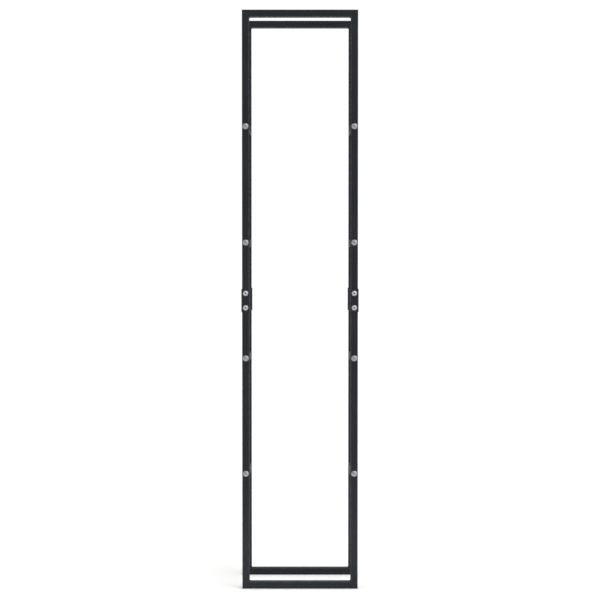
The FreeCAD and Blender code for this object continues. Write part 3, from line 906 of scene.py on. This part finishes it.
# Each sun's spread in degrees, and the direction towards it.
SUNS = {
    "key_light": (70.0, (0.75, -0.55, 0.75)),
    "fill_light": (80.0, (-0.9, -0.35, 0.5)),
    "top_light": (110.0, (0.0, 0.25, 1.0)),
}
LOW_LIGHT_SIZE = (0.9, 0.12)
LOW_LIGHT_PLACE = (0.0, -0.45, 0.08)
FLOOR_RADII = np.array([0.5, 2.0, 8.0, 60.0])
# The camera counts its sensor in millimetres.
SENSOR_WIDTH = 36.0
# Well past the floor's far edge.
FARTHEST_SEEN = 200.0


def inner_sign(side):
    """Which way along X is inwards for a post."""
    return 1 if side == "left" else -1


def tube_holes(sizes, row, side, half):
    """Holes of a post: one across the sleeve, and one for each side bar that it carries."""
    round_hole = sizes.bolt_hole / 2
    heights = sorted({z for _, z in sleeve_bolt_lines(row)})
    sleeve_z = heights[HALVES.index(half)]
    holes = [(sleeve_z, flat, round_hole, False) for flat in (0, 2)]
    low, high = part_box(f"{row}_{side}_{half}_post")
    for level in LEVELS:
        z = tie_bolt_line(side, level)[1]
        if low.z < z < high.z:
            takes_neck = row == "front"
            holes.append((z, 0, round_hole, False))
            holes.append((z, 2, sizes.neck_hole / 2 if takes_neck else round_hole, takes_neck))
    return holes


def tube_piece(rack, node, axes, mitres=(0, 0), holes=(), sleeve=False):
    """A powder-coated tube or sleeve that stands for a CAD node."""
    sizes = rack.tubes
    wall = sizes.sleeve_wall if sleeve else sizes.wall
    corner = sizes.sleeve_corner if sleeve else sizes.corner
    shell = tube_shell(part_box(node), axes, wall, corner, sizes, mitres, holes)
    make_piece(node + "_tube", shell, powder_coat(rack.finish), node)


def plated_piece(node, shell, lines, y, shank_to, zinc, first_turn=0, turn_step=1):
    """Like fasteners that stand for a CAD node: one on each line, its seat at y."""
    placed = [
        moved(shell, fastener_place((x, y, z), shank_to, first_turn + turn_step * number))
        for number, (x, z) in enumerate(lines)
    ]
    make_piece(node + "_plated", joined(placed), zinc, node)


class LOGRACK_OT_posts(bpy.types.Operator):
    """Make the eight half posts, mitred at the frame corners and drilled for the bolts"""

    bl_idname = "log_rack.posts"
    bl_label = "Posts"

    def execute(self, context):
        rack = context.scene.log_rack
        for row, side, half in product(FRAMES, SIDES, HALVES):
            mitre = inner_sign(side)
            mitres = (mitre, 0) if half == "lower" else (0, mitre)
            holes = tube_holes(rack.tubes, row, side, half)
            tube_piece(rack, f"{row}_{side}_{half}_post", (2, 0, 1), mitres, holes)
        return {"FINISHED"}


class LOGRACK_OT_cross_bars(bpy.types.Operator):
    """Make the top and bottom bars of both frames, mitred at both ends"""

    bl_idname = "log_rack.cross_bars"
    bl_label = "Cross bars"

    def execute(self, context):
        rack = context.scene.log_rack
        for row, (place, mitre) in product(FRAMES, (("bottom", 1), ("top", -1))):
            tube_piece(rack, f"{row}_{place}_bar", (0, 2, 1), (mitre, mitre))
        return {"FINISHED"}


class LOGRACK_OT_side_bars(bpy.types.Operator):
    """Make the eight square-cut bars that join the front frame to the rear one"""

    bl_idname = "log_rack.side_bars"
    bl_label = "Side bars"

    def execute(self, context):
        for side, level in product(SIDES, LEVELS):
            tube_piece(context.scene.log_rack, f"{side}_side_bar_{level}", (1, 0, 2))
        return {"FINISHED"}


class LOGRACK_OT_splice_sleeves(bpy.types.Operator):
    """Make the four sleeves round the posts' joints, drilled for their bolts"""

    bl_idname = "log_rack.splice_sleeves"
    bl_label = "Splice sleeves"

    def execute(self, context):
        rack = context.scene.log_rack
        radius = rack.tubes.bolt_hole / 2
        for row, side in product(FRAMES, SIDES):
            heights = sorted({z for _, z in sleeve_bolt_lines(row)})
            holes = [(z, flat, radius, False) for z, flat in product(heights, (0, 2))]
            node = f"{row}_{side}_splice_sleeve"
            tube_piece(rack, node, (2, 0, 1), holes=holes, sleeve=True)
        return {"FINISHED"}


class LOGRACK_OT_corner_welds(bpy.types.Operator):
    """Make the fillet beads in the inner corners of both frames"""

    bl_idname = "log_rack.corner_welds"
    bl_label = "Corner welds"

    def execute(self, context):
        rack = context.scene.log_rack
        sizes = rack.tubes
        ends = (("lower", "bottom", 1), ("upper", "top", -1))
        for row, (half, bar, up) in product(FRAMES, ends):
            low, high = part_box(f"{row}_{bar}_bar")
            z = high.z if up == 1 else low.z
            beads = []
            for number, side in enumerate(SIDES):
                inwards = inner_sign(side)
                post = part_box(f"{row}_{side}_{half}_post")
                x = post[1].x if inwards == 1 else post[0].x
                bead = weld_bead(
                    sizes, high.y - low.y - 2 * sizes.corner, 0.37 * number + 0.21 * up
                )
                mirror = Matrix.Diagonal((inwards, 1, up, 1))
                place = Matrix.Translation((x, (low.y + high.y) / 2, z)) @ mirror
                beads.append(moved(bead, place))
            node = f"{row}_{half}_corner_welds"
            make_piece(node + "_bead", joined(beads), powder_coat(rack.finish), node)
        return {"FINISHED"}


class LOGRACK_OT_tie_bolts(bpy.types.Operator):
    """Make the long carriage bolts through the side bars, with their washers and nuts"""

    bl_idname = "log_rack.tie_bolts"
    bl_label = "Tie bolts"

    def execute(self, context):
        rack = context.scene.log_rack
        sizes = rack.fasteners
        finish = rack.finish
        zinc = zinc_plate(
            "dull_blue_passivated_zinc_plate", finish.zinc, finish.zinc_dull, finish
        )
        for side in SIDES:
            lines = [tie_bolt_line(side, level) for level in LEVELS]
            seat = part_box(f"front_{side}_lower_post")[0].y
            head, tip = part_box(f"{side}_tie_bolts")
            bolt = carriage_bolt(sizes, (tip.x - head.x) / 2, seat - head.y, tip.y - seat)
            under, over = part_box(f"{side}_tie_bolt_washers")
            washer = plain_washer(sizes, (over.x - under.x) / 2, over.y - under.y)
            foot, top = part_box(f"{side}_tie_bolt_nuts")
            nut = hex_nut(sizes, top.y - foot.y)
            # The square necks sit in square holes, so no bolt is turned.
            plated_piece(f"{side}_tie_bolts", bolt, lines, seat, 1, zinc, turn_step=0)
            plated_piece(f"{side}_tie_bolt_washers", washer, lines, under.y, 1, zinc)
            plated_piece(f"{side}_tie_bolt_nuts", nut, lines, foot.y, 1, zinc)
        return {"FINISHED"}


class LOGRACK_OT_sleeve_bolts(bpy.types.Operator):
    """Make the flanged button-head bolts through the sleeves, with their nuts"""

    bl_idname = "log_rack.sleeve_bolts"
    bl_label = "Sleeve bolts"

    def execute(self, context):
        rack = context.scene.log_rack
        sizes = rack.fasteners
        finish = rack.finish
        zinc = zinc_plate(
            "bright_blue_passivated_zinc_plate", finish.bright_zinc, finish.bright_zinc_dull,
            finish,
        )
        for row in FRAMES:
            rearwards = 1 if row == "front" else -1
            lines = sleeve_bolt_lines(row)
            outer, inner = (end.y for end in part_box(f"{row}_left_splice_sleeve"))
            head, tip = (end.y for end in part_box(f"{row}_sleeve_bolts"))
            if rearwards == -1:
                outer, inner, head, tip = inner, outer, tip, head
            radius = lines[0][1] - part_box(f"{row}_sleeve_bolts")[0].z
            bolt = button_bolt(sizes, radius, abs(head - outer), abs(tip - outer))
            foot, top = (end.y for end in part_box(f"{row}_sleeve_nuts"))
            nut = hex_nut(sizes, top - foot)
            plated_piece(f"{row}_sleeve_bolts", bolt, lines, outer, rearwards, zinc)
            plated_piece(f"{row}_sleeve_nuts", nut, lines, inner, rearwards, zinc, first_turn=1)
        return {"FINISHED"}


class LOGRACK_OT_end_plates(bpy.types.Operator):
    """Give the plates inside the side bars' ends their plain steel"""

    bl_idname = "log_rack.end_plates"
    bl_label = "End plates"

    def execute(self, context):
        steel = mill_plate(context.scene.log_rack.finish)
        for side in SIDES:
            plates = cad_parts[f"{side}_side_bar_end_plates"]
            for material_slot in plates.material_slots:
                material_slot.material = steel
        return {"FINISHED"}


def soft_sun(name, strength):
    """A broad even light from a direction, such as a large diffuser far away."""
    spread, towards_light = SUNS[name]
    light = bpy.data.lights.new(name, "SUN")
    light.energy = strength
    light.angle = math.radians(spread)
    lamp = bpy.data.objects.new(name, light)
    lamp.rotation_euler = Vector(towards_light).to_track_quat("Z", "Y").to_euler()
    bpy.context.scene.collection.objects.link(lamp)


def floor_light(strength):
    """A low, wide panel in front of the rack that brightens its feet and isn't seen itself."""
    light = bpy.data.lights.new("low_light", "AREA")
    light.energy = strength
    light.shape = "RECTANGLE"
    light.size, light.size_y = LOW_LIGHT_SIZE
    lamp = bpy.data.objects.new("low_light", light)
    lamp.location = LOW_LIGHT_PLACE
    lamp.rotation_euler = (math.radians(90.0), 0.0, 0.0)
    lamp.visible_camera = False
    bpy.context.scene.collection.objects.link(lamp)


def floor_shell():
    """A flat disc that faces up: rings of FLOOR_RADII round a middle point."""
    radii = FLOOR_RADII[:, None]
    rows = np.stack(
        [radii * np.cos(ANGLES), radii * np.sin(ANGLES), 0 * radii * ANGLES], axis=-1
    )
    index = np.arange(FLOOR_RADII.size * AROUND).reshape(-1, AROUND)
    points = np.vstack([rows.reshape(-1, 3), [0.0, 0.0, 0.0]])
    return points, ring_quads(index)[:, ::-1], fan(index[0], len(points) - 1), {}


def studio_world(stage):
    """White backdrop behind everything, and an even, dimmer light from all round."""
    world = bpy.data.worlds.new("studio")
    world.use_nodes = True
    tree = world.node_tree
    surroundings = tree.nodes["Background"]
    surroundings.inputs["Color"].default_value = opaque(linear("#ffffff"))
    surroundings.inputs["Strength"].default_value = stage.ambient
    backdrop = add_node(
        tree, "ShaderNodeBackground",
        {"Color": opaque(linear("#ffffff")), "Strength": stage.backdrop},
    )
    seen = add_node(tree, "ShaderNodeLightPath").outputs["Is Camera Ray"]
    mixed = add_node(
        tree, "ShaderNodeMixShader",
        {0: seen, 1: surroundings.outputs[0], 2: backdrop.outputs[0]},
    )
    tree.links.new(mixed.outputs[0], tree.nodes["World Output"].inputs["Surface"])
    bpy.context.scene.world = world


class LOGRACK_OT_stage(bpy.types.Operator):
    """Make the pale floor, the soft studio light and the camera"""

    bl_idname = "log_rack.stage"
    bl_label = "Stage"

    def execute(self, context):
        stage = context.scene.log_rack.stage
        floor = make_mesh("floor", floor_shell(), seamless_paper(stage.floor))
        studio_world(stage)
        soft_sun("key_light", stage.key)
        soft_sun("fill_light", stage.fill)
        soft_sun("top_light", stage.top)
        floor_light(stage.low)
        lens = bpy.data.cameras.new("camera")
        lens.lens = stage.focal
        lens.sensor_width = SENSOR_WIDTH
        lens.clip_end = FARTHEST_SEEN
        camera = bpy.data.objects.new("camera", lens)
        camera.location = (0.0, -stage.camera_back, stage.camera_height)
        camera.rotation_euler = (math.radians(90.0) - stage.camera_dip, 0.0, 0.0)
        context.scene.collection.objects.link(camera)
        context.scene.camera = camera
        context.scene.view_settings.view_transform = "Standard"
        return {"FINISHED"}


OPERATORS = (
    LOGRACK_OT_posts,
    LOGRACK_OT_cross_bars,
    LOGRACK_OT_side_bars,
    LOGRACK_OT_splice_sleeves,
    LOGRACK_OT_corner_welds,
    LOGRACK_OT_tie_bolts,
    LOGRACK_OT_sleeve_bolts,
    LOGRACK_OT_end_plates,
    LOGRACK_OT_stage,
)


class LOGRACK_PT_sidebar(bpy.types.Panel):
    """Buttons that make the rack, and its settings"""

    bl_idname = "LOGRACK_PT_sidebar"
    bl_label = "Log rack"
    bl_space_type = "VIEW_3D"
    bl_region_type = "UI"
    bl_category = "Log rack"

    def draw(self, context):
        for operator in OPERATORS:
            self.layout.operator(operator.bl_idname)
        rack = context.scene.log_rack
        for group in (rack.tubes, rack.fasteners, rack.finish, rack.stage):
            box = self.layout.box()
            for name in type(group).__annotations__:
                box.prop(group, name)


CLASSES = (
    TubeSettings,
    FastenerSettings,
    FinishSettings,
    StageSettings,
    RackSettings,
    *OPERATORS,
    LOGRACK_PT_sidebar,
)


def register():
    for each in CLASSES:
        bpy.utils.register_class(each)
    bpy.types.Scene.log_rack = PointerProperty(type=RackSettings)


def unregister():
    del bpy.types.Scene.log_rack
    for each in reversed(CLASSES):
        bpy.utils.unregister_class(each)


def main():
    register()
    bpy.ops.log_rack.posts()
    bpy.ops.log_rack.cross_bars()
    bpy.ops.log_rack.side_bars()
    bpy.ops.log_rack.splice_sleeves()
    bpy.ops.log_rack.corner_welds()
    bpy.ops.log_rack.tie_bolts()
    bpy.ops.log_rack.sleeve_bolts()
    bpy.ops.log_rack.end_plates()
    bpy.ops.log_rack.stage()


if __name__ == "__main__":
    main()
